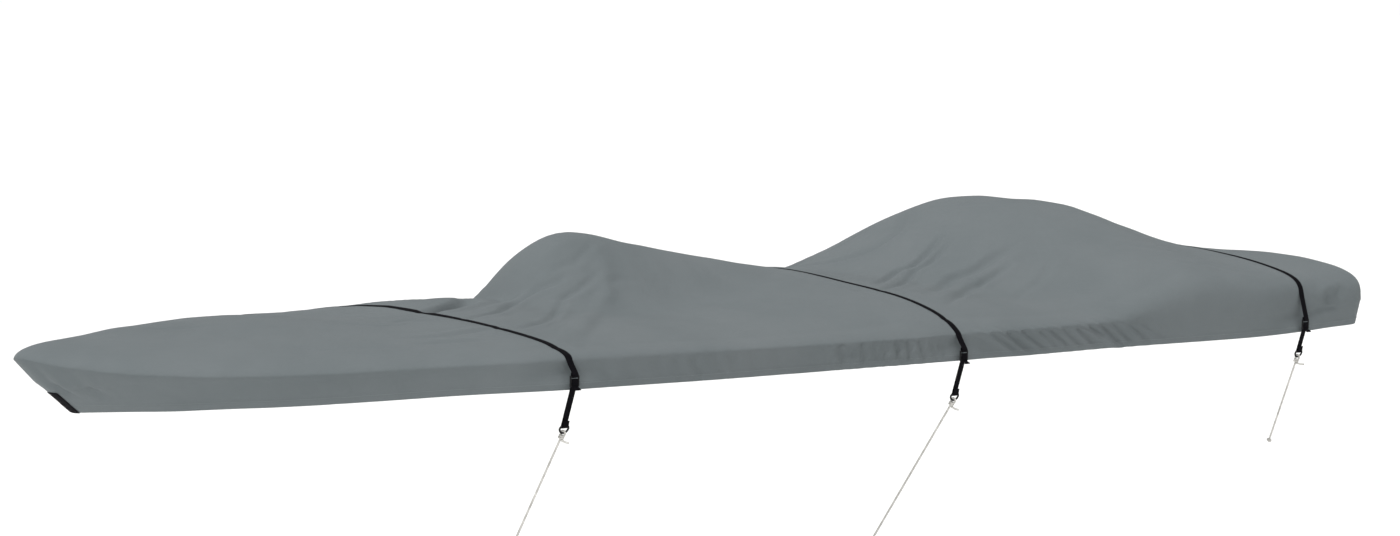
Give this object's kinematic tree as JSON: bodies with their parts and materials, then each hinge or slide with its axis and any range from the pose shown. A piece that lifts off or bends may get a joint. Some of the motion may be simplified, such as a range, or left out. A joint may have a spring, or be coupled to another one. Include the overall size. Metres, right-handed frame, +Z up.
{
  "type": "boat cover",
  "caption": "Fitted cloth cover for a small motor boat, raised over seats and console, with webbing straps, buckles, D rings and tie cords.",
  "frame": {"origin": "underside of the cloth on the ridge, midway between bow and stern, where the boat carries it", "axes": "+X towards the stern, +Y to starboard, +Z up"},
  "size_m": [5.25, 2.0852, 1.1767],
  "materials": {
    "cover_cloth": "plain woven polyester, matte, water-repellent",
    "strap_webbing": "black polypropylene webbing",
    "buckle_plastic": "black moulded acetal",
    "ring_metal": "black coated steel wire",
    "tie_cord": "white braided nylon"
  },
  "bodies": {
    "root": {"cover": "cover_cloth", "strap_1": "strap_webbing", "strap_1_buckle_port": "buckle_plastic", "strap_1_tail_port": "strap_webbing", "strap_1_ring_port": "ring_metal", "strap_1_buckle_starboard": "buckle_plastic", "strap_1_tail_starboard": "strap_webbing", "strap_1_ring_starboard": "ring_metal", "strap_2": "strap_webbing", "strap_2_buckle_port": "buckle_plastic", "strap_2_tail_port": "strap_webbing", "strap_2_ring_port": "ring_metal", "strap_2_buckle_starboard": "buckle_plastic", "strap_2_tail_starboard": "strap_webbing", "strap_2_ring_starboard": "ring_metal", "strap_3": "strap_webbing", "strap_3_buckle_port": "buckle_plastic", "strap_3_tail_port": "strap_webbing", "strap_3_ring_port": "ring_metal", "strap_3_buckle_starboard": "buckle_plastic", "strap_3_tail_starboard": "strap_webbing", "strap_3_ring_starboard": "ring_metal", "tie_1_cord": "tie_cord", "tie_1_knot": "tie_cord", "tie_1_end_knot": "tie_cord", "tie_1_loose_end": "tie_cord", "tie_2_cord": "tie_cord", "tie_2_knot": "tie_cord", "tie_2_end_knot": "tie_cord", "tie_2_loose_end": "tie_cord", "tie_3_cord": "tie_cord", "tie_3_knot": "tie_cord", "tie_3_end_knot": "tie_cord", "tie_3_loose_end": "tie_cord", "bow_tab": "strap_webbing"}
  },
  "joints": []
}
